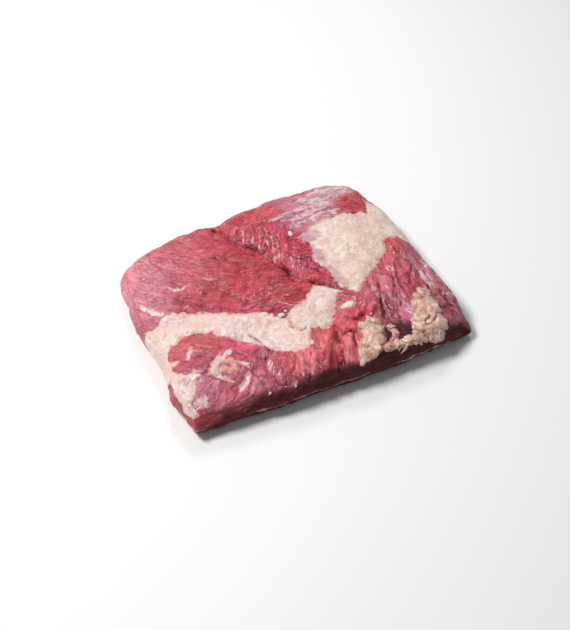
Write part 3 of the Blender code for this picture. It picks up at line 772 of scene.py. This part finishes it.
def flecks_of_sinew(material, place):
    """Round specks of connective tissue about 1 mm across, one in three of a 6 mm scatter."""
    cells = add_node(material, "ShaderNodeTexVoronoi", {}, {
        "Vector": place, "Scale": 1 / (6.0 * MM), "Randomness": 1.0})
    speck = add_node(material, "ShaderNodeMapRange", {"interpolation_type": "SMOOTHSTEP"}, {
        "Value": cells.outputs["Distance"], "From Min": 0.08, "From Max": 0.15, "To Min": 1.0, "To Max": 0.0})
    parts = add_node(material, "ShaderNodeSeparateColor", {}, {0: cells.outputs["Color"]})
    kept = add_node(material, "ShaderNodeMath", {"operation": "GREATER_THAN"}, {0: parts.outputs[0], 1: 0.66})
    return add_node(material, "ShaderNodeMath", {"operation": "MULTIPLY"}, {
        0: speck.outputs[0], 1: kept.outputs[0]}).outputs[0]


def amounts(material, steps):
    """Runs a list of steps, each made from a pattern, an earlier step or a number; returns them by name."""
    found = {}
    for name, kind, *values in steps:
        values = [found.get(v, v) if isinstance(v, str) else v for v in values]
        if kind == "RANGE":
            keys = ("Value", "From Min", "From Max", "To Min", "To Max")
            node = add_node(material, "ShaderNodeMapRange", {"interpolation_type": "SMOOTHSTEP"},
                            dict(zip(keys, values)))
        else:
            node = add_node(material, "ShaderNodeMath", {"operation": kind}, dict(enumerate(values)))
        found[name] = node.outputs[0]
    return found


def moist_raw_beef(looks):
    """Raw beef, freshly cut and moist: coarse fibre bundles with thin pale marbling, firm cream fat
    with a soft lumpy skin, and violet silverskin. Moisture gives small sharp glints, and light soaks a
    little way into the flesh."""
    material, surface = new_material("moist_raw_beef_and_fat")
    tones = {name: add_node(material, "ShaderNodeAttribute", {"attribute_name": name}).outputs["Color"]
             for name in ("lean_tone", "fat_tone")}
    map_of = {name: add_node(material, "ShaderNodeAttribute", {"attribute_name": name}).outputs["Fac"]
              for name in ("fat_reach", "film", "thin_fat", "sinew", "stain", "crease_shade", "pale_streaks")}
    p = flesh_patterns(material, looks)
    specks = flecks_of_sinew(material, p["place"])

    lean_parts = add_node(material, "ShaderNodeSeparateColor", {}, {0: tones["lean_tone"]})
    part = amounts(material, (
        # Where the lean tone is dark, as on the near side whose dark tone is painted shade, marks are weak
        # and the surface is duller.
        ("open", "RANGE", lean_parts.outputs[0], 0.08, 0.34, 0.12, 1.0),
        # Lean: how pale each bundle is, dark lines between fibres, pale threads and flecks.
        ("bundle", "RANGE", p["bundles"], 0.34, 0.60, 0.0, 1.0),
        ("strand", "RANGE", p["strands"], 0.34, 0.66, 0.88, 1.10),
        ("blotch", "RANGE", p["blotches"], 0.30, 0.70, 0.84, 1.14),
        ("shade", "MULTIPLY", "strand", "blotch"),
        ("line", "RANGE", p["lines"], 0.0, 0.030, 0.55, 0.0),
        ("line_where", "RANGE", p["strands"], 0.40, 0.62, 1.0, 0.15),
        ("line_some", "MULTIPLY", "line", "line_where"),
        ("dark_line", "MULTIPLY", "line_some", "open"),
        ("ridge_line", "RANGE", p["ridges"], 0.0, 0.034, 0.40, 0.0),
        ("ridge_where", "RANGE", p["clouds"], 0.40, 0.56, 0.25, 1.0),
        ("ridge_pale", "MULTIPLY", "ridge_line", "ridge_where"),
        ("thread", "RANGE", p["threads"], 0.56, 0.70, 0.0, 1.0),
        ("thread_most", "MULTIPLY_ADD", map_of["pale_streaks"], 0.62, 0.22),
        ("thread_pale", "MULTIPLY", "thread", "thread_most"),
        ("tick", "RANGE", p["ticks"], 0.58, 0.72, 0.0, 0.4),
        ("tick_where", "RANGE", p["clouds"], 0.46, 0.60, 0.0, 1.0),
        ("tick_pale", "MULTIPLY", "tick", "tick_where"),
        ("fleck", "MULTIPLY", specks, 0.62),
        ("ragged_mark", "MULTIPLY_ADD", p["edges"], 1.5, -0.75),
        ("mark_edge", "ADD", map_of["sinew"], "ragged_mark"),
        ("mark", "RANGE", "mark_edge", 0.35, 0.95, 0.0, 0.72),
        ("pale_0", "MAXIMUM", "ridge_pale", "thread_pale"),
        ("pale_1", "MAXIMUM", "pale_0", "tick_pale"),
        ("pale_2", "MAXIMUM", "fleck", "mark"),
        ("pale_3", "MAXIMUM", "pale_1", "pale_2"),
        ("pale", "MULTIPLY", "pale_3", "open"),
        # Silverskin: where the film lies, and its own paler threads and bare gaps.
        ("film_noise", "MULTIPLY_ADD", p["web"], 2.4, -1.2),
        ("film_edge", "ADD", map_of["film"], "film_noise"),
        ("film_some", "RANGE", "film_edge", 0.42, 0.74, 0.0, 0.9),
        ("film_within", "RANGE", map_of["film"], 0.0, 0.35, 0.0, 1.0),
        ("film", "MULTIPLY", "film_some", "film_within"),
        ("film_tone", "RANGE", p["web"], 0.44, 0.58, 0.0, 1.0),
        ("film_line", "RANGE", p["fine_web"], 0.0, 0.04, 0.85, 0.0),
        ("film_thread", "MULTIPLY", "film_line", "film"),
        # Stains, and the painted shade in creases and between fibre bundles.
        ("stain_noise", "MULTIPLY_ADD", p["edges"], 1.2, -0.6),
        ("stain_edge", "ADD", map_of["stain"], "stain_noise"),
        ("stain_here", "RANGE", "stain_edge", 0.25, 0.95, 0.0, 0.5),
        ("stain_within", "RANGE", map_of["stain"], 0.0, 0.2, 0.0, 1.0),
        ("stain", "MULTIPLY", "stain_here", "stain_within"),
        ("stain_on_fat", "MULTIPLY", "stain", 0.6),
        ("crease_shade", "RANGE", map_of["crease_shade"], 0.30, 0.95, 0.0, 0.9),
        # Fat: pink clouds and veins, places where the flesh shows through, fine grain.
        ("pink_cloud", "RANGE", p["fat_clouds"], 0.46, 0.72, 0.0, 0.6),
        ("vein_line", "RANGE", p["fat_veins"], 0.0, 0.03, 0.58, 0.0),
        ("vein_where", "RANGE", p["blotches"], 0.42, 0.60, 0.0, 1.0),
        ("vein", "MULTIPLY", "vein_line", "vein_where"),
        ("fat_white", "RANGE", p["fat_clouds"], 0.30, 0.47, 0.7, 0.0),
        ("fat_grain", "RANGE", p["grains"], 0.3, 0.7, 0.94, 1.05),
        ("fat_cream", "RANGE", p["clouds"], 0.44, 0.66, 0.0, 0.3),
        ("thin_noise", "MULTIPLY_ADD", p["web"], 2.6, -1.3),
        ("thin_edge", "ADD", map_of["thin_fat"], "thin_noise"),
        ("thin_some", "RANGE", "thin_edge", 0.15, 0.95, 0.0, 0.8),
        ("thin_within", "RANGE", map_of["thin_fat"], 0.0, 0.3, 0.0, 1.0),
        ("thin", "MULTIPLY", "thin_some", "thin_within"),
        # The ragged line between fat and lean, and the brighter lean just outside it.
        ("edge_shift", "MULTIPLY_ADD", p["edges"], 5.0, -2.5),
        ("edge", "ADD", map_of["fat_reach"], "edge_shift"),
        ("fat", "RANGE", "edge", -0.7, 0.7, 0.0, 1.0),
        ("fat_fades", "RANGE", "edge", 0.2, 3.4, 0.62, 0.0),
        ("fade_where", "RANGE", p["blotches"], 0.36, 0.58, 0.0, 1.0),
        ("fade", "MULTIPLY", "fat_fades", "fade_where"),
        ("rim_in", "RANGE", "edge", -2.6, -0.3, 0.0, 1.0),
        ("rim_where", "RANGE", p["blotches"], 0.46, 0.66, 0.0, 0.3),
        ("rim", "MULTIPLY", "rim_in", "rim_where"),
    ))

    deep = add_node(material, "ShaderNodeVectorMath", {"operation": "MULTIPLY"}, {
        0: tones["lean_tone"], 1: (0.84, 0.54, 0.62)}).outputs[0]
    bright = add_node(material, "ShaderNodeVectorMath", {"operation": "MULTIPLY"}, {
        0: tones["lean_tone"], 1: (1.10, 1.08, 1.06)}).outputs[0]
    lean = add_node(material, "ShaderNodeMix", {"data_type": "RGBA"}, {
        0: part["bundle"], 6: deep, 7: bright}).outputs[2]
    lean = add_node(material, "ShaderNodeVectorMath", {"operation": "SCALE"}, {
        0: lean, "Scale": part["shade"]}).outputs[0]
    pale_tone = add_node(material, "ShaderNodeMix", {"data_type": "RGBA"}, {
        0: map_of["pale_streaks"], 6: linear("#e8a7a3"), 7: linear("#e9c9d3")}).outputs[2]
    film_tone = add_node(material, "ShaderNodeMix", {"data_type": "RGBA"}, {
        0: part["film_tone"], 6: looks.film_deep, 7: looks.film_pale}).outputs[2]
    # The deep red #4c0f1b that goes into creases and between fibre bundles is painted shade.
    for amount, tone in (
        (part["dark_line"], linear("#6d1526")), (part["pale"], pale_tone), (part["film"], film_tone),
        (part["film_thread"], linear("#edd3cd")), (part["stain"], linear("#dd4a3c")),
        (part["rim"], linear("#d85d52")), (part["crease_shade"], linear("#4c0f1b")),
    ):
        lean = add_node(material, "ShaderNodeMix", {"data_type": "RGBA"}, {
            0: amount, 6: lean, 7: tone}).outputs[2]

    fat = tones["fat_tone"]
    # Painted shade in the fat's gaps and slits, mixed with the dark flesh seen inside a slit; orange where
    # the fat is stained.
    slit_shade_tone = add_node(material, "ShaderNodeMix", {"data_type": "RGBA"}, {
        0: part["stain"], 6: linear("#7c4242"), 7: linear("#cf5d38")}).outputs[2]
    for amount, tone in (
        (part["fat_cream"], linear("#ead8c8")), (part["fat_white"], linear("#f0e2da")),
        (part["pink_cloud"], linear("#dfb0a2")), (part["vein"], linear("#d38c7a")),
        (part["thin"], linear("#b98a98")), (part["fade"], linear("#cb8f89")),
        (part["stain_on_fat"], linear("#e9875f")), (part["crease_shade"], slit_shade_tone),
    ):
        fat = add_node(material, "ShaderNodeMix", {"data_type": "RGBA"}, {
            0: amount, 6: fat, 7: tone}).outputs[2]
    fat = add_node(material, "ShaderNodeVectorMath", {"operation": "SCALE"}, {
        0: fat, "Scale": part["fat_grain"]}).outputs[0]
    colour = add_node(material, "ShaderNodeMix", {"data_type": "RGBA"}, {
        0: part["fat"], 6: lean, 7: fat}).outputs[2]

    # Relief: fibres on the lean, small dimples on the fat, and the fat's edge a step up.
    dimples = add_node(material, "ShaderNodeTexVoronoi", {"feature": "SMOOTH_F1"}, {
        "Vector": p["place"], "Scale": 1 / (4.2 * MM), "Smoothness": 0.7, "Randomness": 1.0,
    }).outputs["Distance"]
    heights = amounts(material, (
        ("fibres_1", "MULTIPLY_ADD", p["threads"], 0.55, p["bundles"]),
        ("fibres_2", "MULTIPLY_ADD", p["grains"], 0.45, "fibres_1"),
        ("fibres_3", "MULTIPLY_ADD", part["dark_line"], -0.35, "fibres_2"),
        ("lean", "MULTIPLY_ADD", part["pale"], 0.40, "fibres_3"),
        ("fat_0", "MULTIPLY", dimples, 0.35),
        ("fat_1", "MULTIPLY_ADD", p["grains"], 0.28, "fat_0"),
        ("fat_2", "MULTIPLY_ADD", part["vein_line"], -0.4, "fat_1"),
        ("fat", "MULTIPLY_ADD", p["fat_clouds"], 1.3, "fat_2"),
    ))
    relief = add_node(material, "ShaderNodeMix", {"data_type": "FLOAT"}, {
        0: part["fat"], 2: heights["lean"], 3: heights["fat"]}).outputs[0]
    stepped = add_node(material, "ShaderNodeMath", {"operation": "MULTIPLY_ADD"}, {
        0: part["fat"], 1: 0.35, 2: relief}).outputs[0]
    bump = add_node(material, "ShaderNodeBump", {}, {
        "Strength": 0.9, "Distance": 0.95 * MM, "Height": stepped}).outputs[0]
    wet = amounts(material, (
        ("dull", "MULTIPLY_ADD", part["open"], -0.6, 0.6),
        ("moist", "RANGE", p["blotches"], 0.35, 0.65, 0.20, 0.36),
        ("lean", "ADD", "moist", "dull"),
        ("fat", "RANGE", p["blotches"], 0.35, 0.65, 0.28, 0.42),
    ))
    roughness = add_node(material, "ShaderNodeMix", {"data_type": "FLOAT"}, {
        0: part["fat"], 2: wet["lean"], 3: wet["fat"]}).outputs[0]

    links = material.node_tree.links
    links.new(colour, surface.inputs["Base Color"])
    links.new(roughness, surface.inputs["Roughness"])
    links.new(bump, surface.inputs["Normal"])
    surface.inputs["IOR"].default_value = 1.42
    surface.inputs["Subsurface Weight"].default_value = 0.12
    surface.inputs["Subsurface Radius"].default_value = (1.0, 0.35, 0.25)
    surface.inputs["Subsurface Scale"].default_value = 2.0 * MM
    return material


def pale_floor():
    """Matt board, even and nearly white, with no shine of its own."""
    material, surface = new_material("matt_white_board")
    mottle = add_node(material, "ShaderNodeTexNoise", {}, {"Scale": 3.0, "Detail": 2.0}).outputs[0]
    tone = add_node(material, "ShaderNodeMix", {"data_type": "RGBA"}, {
        0: mottle, 6: linear("#f1f1f0"), 7: linear("#f5f5f4")}).outputs[2]
    material.node_tree.links.new(tone, surface.inputs["Base Color"])
    surface.inputs["Roughness"].default_value = 0.9
    surface.inputs["Specular IOR Level"].default_value = 0.1
    return material


# ---------------------------------------------------------------- making


def slab_finder(slab):
    """A function that gives the slab's surface and its facing at a place on the plan."""
    on_side = 2.0  # places further than this past the near edge lie on the near side
    above = 200.0  # a height clear over the slab, all in mm
    tree = BVHTree.FromObject(slab, bpy.context.evaluated_depsgraph_get())

    def find(x, y):
        past = max(NEAR_EDGE - y, 0.0)  # how far down the near side
        if past > on_side:
            return tree.find_nearest(Vector((x - PLAN_SHIFT, NEAR_EDGE, RIM - past)) * MM)[:2]
        spot, facing, *_ = tree.ray_cast(Vector((x - PLAN_SHIFT, y, above)) * MM, Vector((0, 0, -1)))
        return (spot, facing) if spot else tree.find_nearest(Vector((x - PLAN_SHIFT, y, RIM)) * MM)[:2]

    return find


def one_lobe():
    """A round lobe one metre in radius, to be copied and squeezed."""
    begin_object_mode()
    bpy.ops.mesh.primitive_ico_sphere_add(subdivisions=2, radius=1.0, location=(0, 0, 0))
    lobe = bpy.context.object
    lobe.name = "lobe"
    return lobe


def squeezed(lobe, spot, facing, sizes, turn):
    """A copy of the lobe at a spot, its sizes in mm, turned on the surface that faces that way."""
    copy = bpy.data.objects.new("lobe_copy", lobe.data.copy())
    bpy.context.scene.collection.objects.link(copy)
    lie = facing.to_track_quat("Z", "Y").to_matrix().to_4x4()
    copy.data.transform(Matrix.Translation(spot) @ lie @ Matrix.Rotation(math.radians(turn), 4, "Z")
                        @ Matrix.Diagonal((*(Vector(sizes) * MM), 1.0)))
    return copy


def fused(name, lobe, copies, grain, softening, roughness):
    """Joins lobes into one skin with grains of the given size in mm, softens it in so many rounds, and
    roughens it by so many mm. Returns the piece, its points and how far each stands up in a fold."""
    bpy.data.objects.remove(lobe, do_unlink=True)
    begin_object_mode()
    for copy in copies:
        copy.select_set(True)
    bpy.context.view_layer.objects.active = copies[0]
    bpy.ops.object.join()
    piece = bpy.context.object
    piece.name = piece.data.name = name
    skin = piece.modifiers.new("one_skin", "REMESH")
    skin.mode, skin.voxel_size = "VOXEL", grain * MM
    softened = piece.modifiers.new("softened", "SMOOTH")
    softened.factor, softened.iterations = 0.5, softening
    apply_modifiers(piece)
    points, normals = mesh_points(piece.data)
    folds = 1.0 - 2.0 * np.abs(waves(points / 3.2, 91)) + 0.5 * rough_waves(points / 1.7, 92)
    points += normals * (roughness * folds)[:, None]
    points[:, 2] = np.maximum(points[:, 2], 0.3)
    piece.data.vertices.foreach_set("co", (points * MM).ravel())
    piece.data.update()
    piece.data.shade_smooth()
    return piece, points, folds


def dress_fat(piece, points, folds, tone, rise, find, looks):
    """Gives a small piece of fat the flesh map that the slab's material reads. It turns from flesh to fat
    with its height over the slab: rise holds the reach at its foot and how fast that grows."""
    places = points[:, :2] + np.array([PLAN_SHIFT, 0.0])
    # Tone varies at random and with the folds: fold tops paler as a painted highlight, hollows darker as
    # painted shade.
    paler = smooth(rough_waves(points / 6, 93) + folds * 0.5, -0.4, 1.0)[:, None]
    ends = np.array(linear(tone[0])[:3]), np.array(linear(tone[1])[:3])
    tones = ends[0] * (1 - paler) + ends[1] * paler
    # Painted shade in the hollows between folds.
    crease_shade = 0.45 * (1.0 - smooth(folds, -0.6, 0.2))
    feet = np.array([find(x, y)[0] for x, y in places]) / MM
    reach = rise[0] + rise[1] * np.linalg.norm(points - feet, axis=1)
    nought = np.zeros(len(points))
    store_flesh_map(piece.data, points, places, reach, tones, points[:, 0], points[:, 1], nought, crease_shade)
    finish_piece(piece, one_material("moist_raw_beef_and_fat", moist_raw_beef, looks))


def grown_fat(name, kind, lobe, copies, find, looks):
    """A small piece of fat of one of the kinds in SKINS, grown together from its lobes."""
    grain, softening, roughness, tone, rise = SKINS[kind]
    piece, points, folds = fused(name, lobe, copies, grain, softening, roughness)
    dress_fat(piece, points, folds, tone, rise, find, looks)


def begin_object_mode():
    """Leaves edit mode and selects nothing."""
    if bpy.context.object and bpy.context.object.mode != "OBJECT":
        bpy.ops.object.mode_set(mode="OBJECT")
    bpy.ops.object.select_all(action="DESELECT")


def take_up(piece):
    """Makes one object the only selected and active one."""
    begin_object_mode()
    piece.select_set(True)
    bpy.context.view_layer.objects.active = piece


def apply_modifiers(piece):
    """Works every modifier of a piece into its mesh."""
    take_up(piece)
    for modifier in list(piece.modifiers):
        bpy.ops.object.modifier_apply(modifier=modifier.name)


def finish_piece(piece, material):
    """Gives a piece its material and its place in the record's one body."""
    piece.data.materials.clear()
    piece.data.materials.append(material)
    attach(piece, "root")


def one_material(name, maker, *words):
    """The material of that name, made the first time it is asked for."""
    return bpy.data.materials.get(name) or maker(*words)


class BrisketLooks(bpy.types.PropertyGroup):
    bundle_width: bpy.props.FloatProperty(
        name="Fibre bundles", description="Distance from one bundle of fibres to the next, in mm",
        default=2.6, min=0.5, max=6.0)
    smoothness: bpy.props.IntProperty(
        name="Mesh levels", description="How many times the slab's surface is subdivided",
        default=2, min=1, max=3)
    film_pale: bpy.props.FloatVectorProperty(
        name="Silverskin, pale", description="The palest threads of the silverskin",
        subtype="COLOR", size=4, default=linear("#e3c3c4"))
    film_deep: bpy.props.FloatVectorProperty(
        name="Silverskin, deep", description="The silverskin where the meat shows through",
        subtype="COLOR", size=4, default=linear("#a85c80"))


class BRISKET_OT_slab(bpy.types.Operator):
    """Make the slab: the solid's own surface with its muscles, fat and folds worked in"""

    bl_idname = "brisket.slab"
    bl_label = "Slab"

    def execute(self, context):
        looks = context.scene.brisket
        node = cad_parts["brisket"]
        slab = bpy.data.objects.new("beef_slab", node.data.copy())
        context.scene.collection.objects.link(slab)
        take_up(slab)
        bpy.ops.object.mode_set(mode="EDIT")
        bpy.ops.mesh.select_all(action="SELECT")
        bpy.ops.mesh.remove_doubles(threshold=0.01 * MM)
        bpy.ops.mesh.select_all(action="DESELECT")
        bpy.ops.object.mode_set(mode="OBJECT")
        for face in slab.data.polygons:
            face.select = face.normal.z < -0.999 and face.center.z < 0.1 * MM
        bpy.ops.object.mode_set(mode="EDIT")
        bpy.ops.mesh.select_mode(type="FACE")
        bpy.ops.mesh.dissolve_faces()
        bpy.ops.mesh.poke()
        bpy.ops.mesh.select_all(action="INVERT")
        bpy.ops.mesh.tris_convert_to_quads(face_threshold=math.radians(60), shape_threshold=math.radians(60))
        bpy.ops.mesh.select_all(action="DESELECT")
        bpy.ops.object.mode_set(mode="OBJECT")
        levels = slab.modifiers.new("rounded", "SUBSURF")
        levels.levels = levels.render_levels = looks.smoothness
        apply_modifiers(slab)
        work_surface(slab.data)
        slab.data.shade_smooth()
        finish_piece(slab, one_material("moist_raw_beef_and_fat", moist_raw_beef, looks))
        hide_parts("brisket")
        return {"FINISHED"}


class BRISKET_OT_clumps(bpy.types.Operator):
    """Make the ragged clumps of fat along the near side, each a heap of lobes grown together"""

    bl_idname = "brisket.clumps"
    bl_label = "Ragged fat clumps"

    def execute(self, context):
        find = slab_finder(bpy.data.objects["beef_slab"])
        chance = random.Random(11)
        margin = 1.4  # a lobe's middle lies at least this far inside the outline
        wide_past, long_past = 1.5, 3.0  # how far it may reach past it across and along, all in mm
        for name, (count, smallest, largest, stretch, way) in CLUMPS.items():
            outline = FAT_PATCHES[name][5]
            low, high = np.min(outline, axis=0), np.max(outline, axis=0)
            lobe, copies = one_lobe(), []
            while len(copies) < count:
                x, y = (chance.uniform(a, b) for a, b in zip(low, high))
                inside = inside_outline(np.array([[x, y]]), outline)[0]
                if inside < margin:
                    continue
                radius = min(chance.uniform(smallest, largest), inside + wide_past)
                spot, facing = find(x, y)
                long = min(radius * stretch * chance.uniform(0.7, 1.2), inside + long_past)
                sizes = (long, radius, radius * chance.uniform(0.35, 0.58))
                turn = way + chance.gauss(0, 24)
                copies.append(squeezed(lobe, spot, facing, sizes, turn))
            grown_fat("fat_" + name, "clumps", lobe, copies, find, context.scene.brisket)
        return {"FINISHED"}


class BRISKET_OT_nodules(bpy.types.Operator):
    """Make the small white nodules of fat that lie on the muscles"""

    bl_idname = "brisket.nodules"
    bl_label = "White nodules"

    def execute(self, context):
        find = slab_finder(bpy.data.objects["beef_slab"])
        lobe, copies = one_lobe(), []
        for x, y, long, wide, high, turn in NODULES:
            spot, facing = find(x, y)
            copies.append(squeezed(lobe, spot, facing, (long, wide, high * NODULES_SETTLE), turn))
        grown_fat("white_nodules", "nodules", lobe, copies, find, context.scene.brisket)
        return {"FINISHED"}


class BRISKET_OT_threads(bpy.types.Operator):
    """Make the loose threads of sinew, each a row of small lobes along its way"""

    bl_idname = "brisket.threads"
    bl_label = "Loose threads"

    def execute(self, context):
        find = slab_finder(bpy.data.objects["beef_slab"])
        chance = random.Random(5)
        spacing = 0.9  # from one lobe to the next, in radii
        lift = 0.1  # how far its middle stands over the surface, in radii
        lobe, copies = one_lobe(), []
        for radius, way in THREADS:
            for (ax, ay), (bx, by) in zip(way, way[1:]):
                steps = max(int(math.hypot(bx - ax, by - ay) / (radius * spacing)), 1)
                for step in range(steps):
                    share = step / steps
                    spot, facing = find(ax + (bx - ax) * share, ay + (by - ay) * share)
                    size = radius * chance.uniform(0.5, 0.95)
                    middle = spot + facing * size * lift * MM
                    copies.append(squeezed(lobe, middle, facing, (size, size, size), 0))
        grown_fat("sinew_threads", "threads", lobe, copies, find, context.scene.brisket)
        return {"FINISHED"}


class BRISKET_OT_stage(bpy.types.Operator):
    """Set the floor, the lights and the camera"""

    bl_idname = "brisket.stage"
    bl_label = "Stage"

    def execute(self, context):
        begin_object_mode()
        bpy.ops.mesh.primitive_plane_add(size=6.0, location=(0, 0, 0))
        floor = context.object
        floor.name = "floor"
        floor.data.materials.append(pale_floor())
        scene = context.scene
        for name, (place, size, power, tint) in LIGHTS.items():
            light = bpy.data.lights.new(name, "AREA")
            light.energy, light.color = power, tint
            light.shape, light.size = "DISK", size
            lamp = bpy.data.objects.new(name, light)
            lamp.location = place
            lamp.rotation_euler = (Vector(LIGHTS_AIM) - Vector(place)).to_track_quat("-Z", "Y").to_euler()
            scene.collection.objects.link(lamp)

        world = bpy.data.worlds.new("studio")
        scene.world = world
        world.use_nodes = True
        world.node_tree.nodes["Background"].inputs["Color"].default_value = SKY_TINT
        world.node_tree.nodes["Background"].inputs["Strength"].default_value = SKY_STRENGTH
        scene.view_settings.view_transform = "Standard"

        turn, rise = math.radians(CAMERA_TURN), math.radians(CAMERA_RISE)
        back = Vector((math.sin(turn) * math.cos(rise), -math.cos(turn) * math.cos(rise), math.sin(rise)))
        camera = bpy.data.objects.new("camera", bpy.data.cameras.new("camera"))
        camera.data.lens = CAMERA_LENS
        camera.data.sensor_width = CAMERA_SENSOR
        camera.location = Vector(CAMERA_AIM) + back * CAMERA_DISTANCE
        camera.rotation_euler = (-back).to_track_quat("-Z", "Y").to_euler()
        scene.collection.objects.link(camera)
        scene.camera = camera
        return {"FINISHED"}


class BRISKET_PT_panel(bpy.types.Panel):
    """Lists the sizes, colours and makers of the brisket"""

    bl_idname = "BRISKET_PT_panel"
    bl_label = "Raw beef brisket"
    bl_space_type = "VIEW_3D"
    bl_region_type = "UI"
    bl_category = "Brisket"

    def draw(self, context):
        looks = context.scene.brisket
        for name in ("bundle_width", "smoothness", "film_pale", "film_deep"):
            self.layout.prop(looks, name)
        for maker in MAKERS:
            self.layout.operator(maker.bl_idname)


MAKERS = (BRISKET_OT_slab, BRISKET_OT_clumps, BRISKET_OT_nodules, BRISKET_OT_threads, BRISKET_OT_stage)
CLASSES = (BrisketLooks, *MAKERS, BRISKET_PT_panel)


def register():
    for item in CLASSES:
        bpy.utils.register_class(item)
    bpy.types.Scene.brisket = bpy.props.PointerProperty(type=BrisketLooks)


def unregister():
    del bpy.types.Scene.brisket
    for item in reversed(CLASSES):
        bpy.utils.unregister_class(item)


def main():
    register()
    bpy.ops.brisket.slab()
    bpy.ops.brisket.clumps()
    bpy.ops.brisket.nodules()
    bpy.ops.brisket.threads()
    bpy.ops.brisket.stage()


if __name__ == "__main__":
    main()
